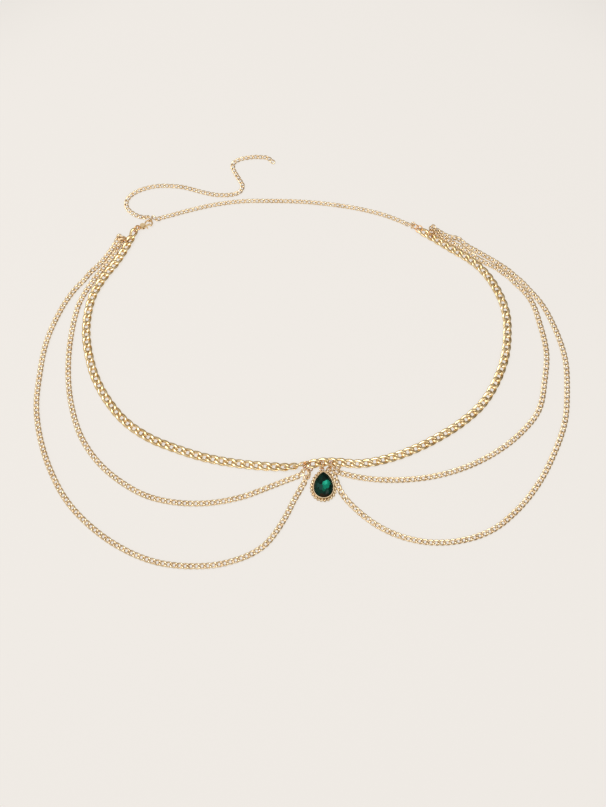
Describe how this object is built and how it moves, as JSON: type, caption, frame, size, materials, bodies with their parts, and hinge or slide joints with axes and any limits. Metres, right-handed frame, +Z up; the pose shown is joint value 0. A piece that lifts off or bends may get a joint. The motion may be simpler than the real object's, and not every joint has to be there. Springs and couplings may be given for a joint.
{
  "type": "waist chain",
  "caption": "Gold-coloured waist chain lying flat: thick curb chain, fine chain swags, lobster clasp, free tail end and a green pear-shaped drop.",
  "frame": {"origin": "middle of the lying piece's bounding box, on the surface it lies on", "axes": "+X to the right across the waist, +Y away from the viewer towards the clasp's side, +Z up from the surface"},
  "size_m": [0.3384, 0.29, 0.0055],
  "materials": {
    "chain_gold": "polished",
    "pale_gold": "polished",
    "ring_gold": "polished",
    "clasp_gold": "polished",
    "green_glass": "polished"
  },
  "bodies": {
    "chain": {"thick_chain_left": "chain_gold", "thick_chain_right": "chain_gold", "back_chain": "pale_gold", "tail_chain": "pale_gold", "swag_mid_left": "pale_gold", "swag_outer_left": "pale_gold", "swag_mid_right": "pale_gold", "swag_outer_right": "pale_gold", "clasp_body": "clasp_gold", "hooked_link": "pale_gold", "clasp_ring": "ring_gold", "left_swag_ring": "ring_gold", "back_ring": "ring_gold", "right_ring": "ring_gold", "right_swag_ring": "ring_gold", "centre_ring": "ring_gold", "centre_left_ring": "ring_gold", "pendant_ring": "ring_gold", "centre_right_ring": "ring_gold", "pendant_setting": "chain_gold", "pendant_stone": "green_glass"},
    "lever": {"clasp_lever": "clasp_gold"}
  },
  "joints": [
    {"name": "lever_hinge", "type": "hinge", "parent": "chain", "child": "lever", "pos_m": [-0.10868, 0.08547, 0.0014], "axis": [0, 0, 1], "range_deg": [0, 20], "stiffness_Nm_per_rad": 0.002, "springref_deg": -17.19}
  ]
}
